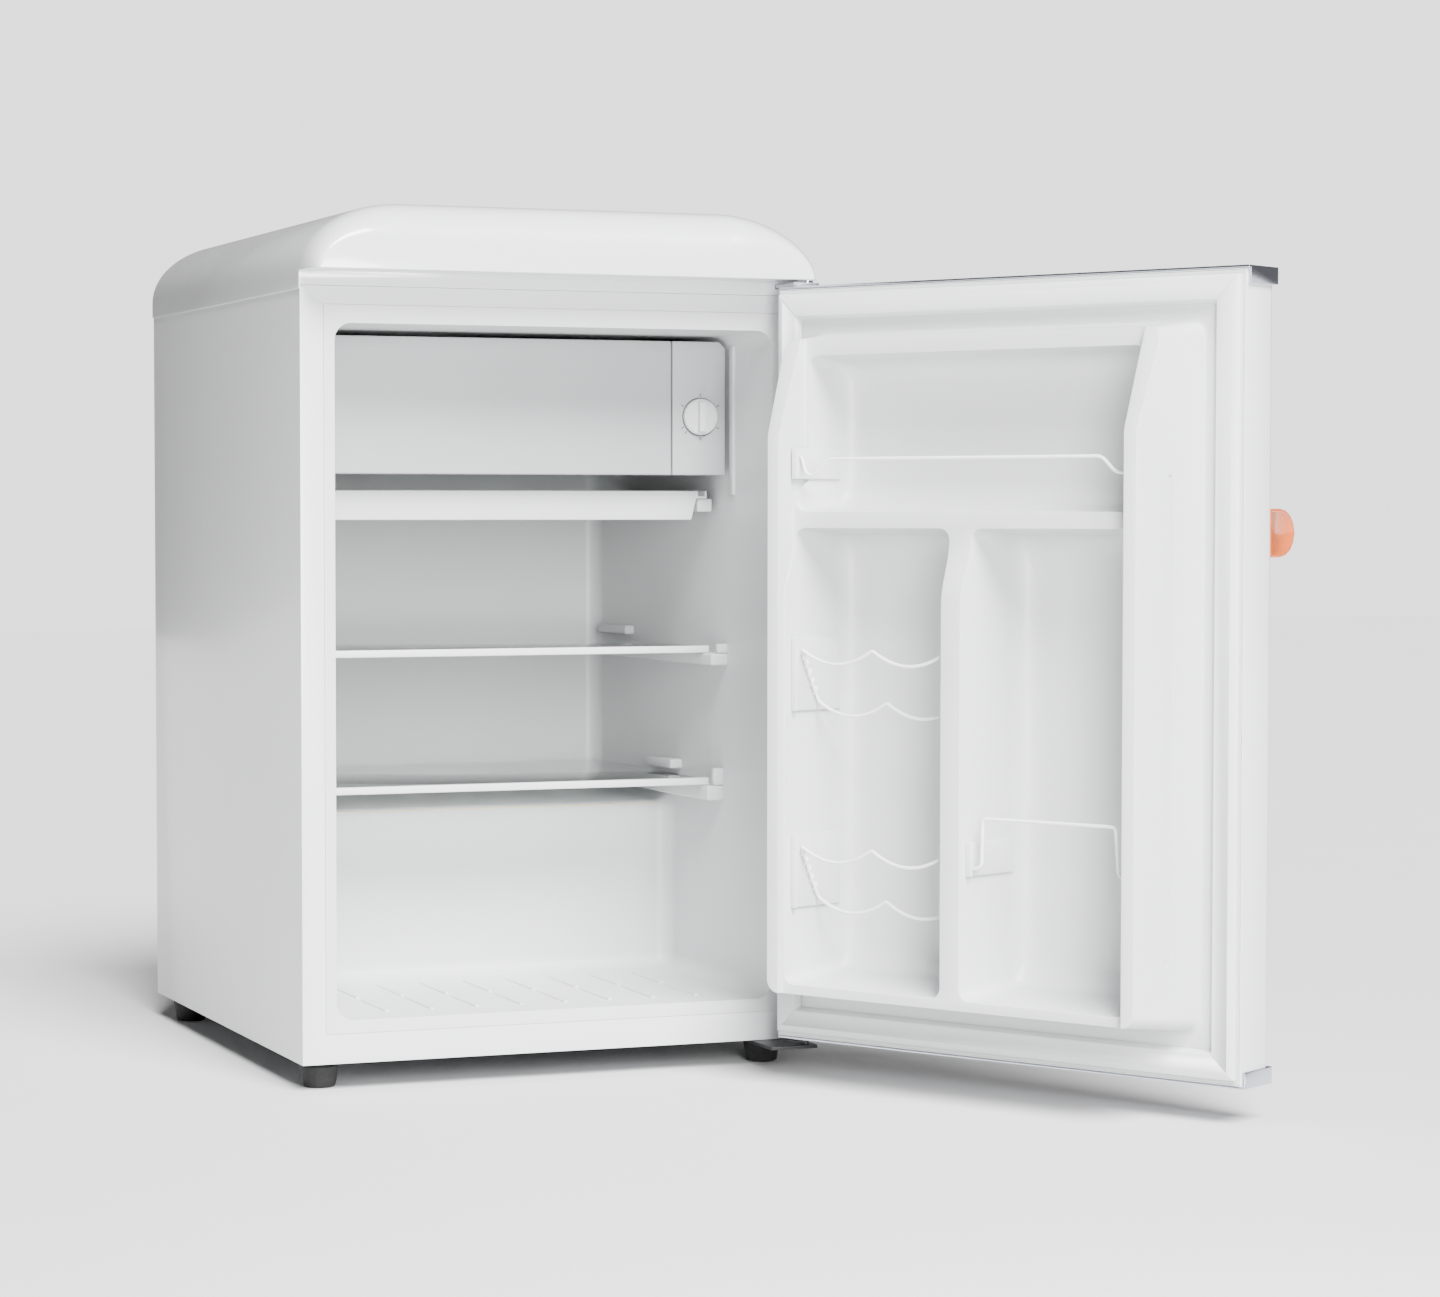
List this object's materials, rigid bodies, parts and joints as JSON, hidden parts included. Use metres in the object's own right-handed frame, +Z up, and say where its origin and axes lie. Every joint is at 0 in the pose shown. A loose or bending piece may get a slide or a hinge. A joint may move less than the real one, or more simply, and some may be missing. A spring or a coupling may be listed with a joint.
{
  "type": "mini fridge",
  "caption": "Compact retro refrigerator with a rounded top cap, open side-hinged door with moulded racks, bar handle, ice box flap, drip tray and glass shelves.",
  "frame": {"origin": "on the floor under the middle of the box around the fridge at rest, with its door open", "axes": "+Z up, -Y towards the front of the cabinet, +X towards the hinged side"},
  "size_m": [0.7386, 0.9816, 0.7655],
  "materials": {
    "white_enamel": "gloss baked enamel",
    "white_cap": "gloss moulded plastic",
    "white_plastic": "satin vacuum formed plastic",
    "clear_glass": "clear toughened glass",
    "chrome": "bright chrome",
    "copper_gloss": "copper coloured metallised plastic",
    "white_rubber": "soft extruded seal",
    "black_rubber": "matte rubber",
    "black_plastic": "matte moulded plastic",
    "foam": "rigid polyurethane foam",
    "galvanised_steel": "galvanised sheet",
    "aluminium": "satin roll-bonded aluminium",
    "black_enamel": "satin black enamel",
    "copper_tube": "drawn copper tube",
    "coated_wire": "white plastic coated wire"
  },
  "bodies": {
    "cabinet": {"cabinet_shell": "white_enamel", "cabinet_foam": "foam", "inner_liner": "white_plastic", "rear_panel": "galvanised_steel", "base_plate": "galvanised_steel", "machine_room_panel": "galvanised_steel", "top_cap": "white_cap", "hinge_plate_top": "galvanised_steel", "hinge_pin_top": "chrome", "hinge_plate_bottom": "black_enamel", "foot_rear_left": "black_rubber", "foot_rear_right": "black_rubber", "evaporator_box": "aluminium", "freezer_frame": "white_plastic", "thermostat_housing": "white_plastic", "thermostat_body": "galvanised_steel", "tray_rail_left": "white_plastic", "tray_rail_right": "white_plastic", "compressor_mount": "black_rubber", "compressor": "black_enamel", "relay_cover": "black_plastic", "evaporation_pan": "black_plastic", "filter_drier": "copper_tube", "suction_pipe": "copper_tube", "discharge_pipe": "copper_tube", "capillary_pipe": "copper_tube", "condenser_coil": "black_enamel", "condenser_strip_left": "black_enamel", "condenser_strip_right": "black_enamel", "mains_gland": "black_rubber"},
    "door": {"door_panel": "white_enamel", "door_foam": "foam", "door_liner": "white_plastic", "door_gasket": "white_rubber", "door_trim_top": "chrome", "door_trim_bottom": "chrome", "hinge_bush_top": "white_plastic", "hinge_bush_bottom": "white_plastic", "door_handle": "copper_gloss", "top_guard_wire": "coated_wire", "top_guard_clip_left": "white_plastic", "top_guard_clip_right": "white_plastic", "can_rack_1": "coated_wire", "can_rack_1_clip_left": "white_plastic", "can_rack_1_clip_right": "white_plastic", "can_rack_2": "coated_wire", "can_rack_2_clip_left": "white_plastic", "can_rack_2_clip_right": "white_plastic", "bottle_guard_wire": "coated_wire", "bottle_guard_clip_left": "white_plastic", "bottle_guard_clip_right": "white_plastic"},
    "freezer_flap": {"freezer_flap": "white_plastic"},
    "thermostat_knob": {"thermostat_knob": "white_plastic"},
    "drip_tray": {"drip_tray": "white_plastic"},
    "upper_shelf": {"upper_shelf_glass": "clear_glass", "upper_shelf_edge": "white_plastic"},
    "lower_shelf": {"lower_shelf_glass": "clear_glass", "lower_shelf_edge": "white_plastic"},
    "foot_front_left": {"foot_front_left": "black_rubber"},
    "foot_front_right": {"foot_front_right": "black_rubber"}
  },
  "joints": [
    {"name": "door_hinge", "type": "hinge", "parent": "cabinet", "child": "door", "pos_m": [0.09052, -0.07737, 0.024], "axis": [0, 0, 1], "range_deg": [-119.57, 10]},
    {"name": "freezer_flap_hinge", "type": "hinge", "parent": "cabinet", "child": "freezer_flap", "pos_m": [-0.32098, 0.05383, 0.5347], "axis": [0, 0, -1], "range_deg": [0, 90]},
    {"name": "thermostat_turn", "type": "hinge", "parent": "cabinet", "child": "thermostat_knob", "pos_m": [0.03962, 0.04833, 0.588], "axis": [0, 1, 0], "range_deg": [0, 270]},
    {"name": "drip_tray_slide", "type": "slide", "parent": "cabinet", "child": "drip_tray", "axis": [0, -1, 0], "range_m": [0, 0.18]},
    {"name": "upper_shelf_slide", "type": "slide", "parent": "cabinet", "child": "upper_shelf", "axis": [0, -1, 0], "range_m": [0, 0.18]},
    {"name": "lower_shelf_slide", "type": "slide", "parent": "cabinet", "child": "lower_shelf", "axis": [0, -1, 0], "range_m": [0, 0.18]},
    {"name": "foot_front_left_turn", "type": "hinge", "parent": "cabinet", "child": "foot_front_left", "pos_m": [-0.34298, -0.00917, 0], "axis": [0, 0, 1], "continuous": true},
    {"name": "foot_front_right_turn", "type": "hinge", "parent": "cabinet", "child": "foot_front_right", "pos_m": [0.07702, -0.00917, 0], "axis": [0, 0, 1], "continuous": true}
  ]
}
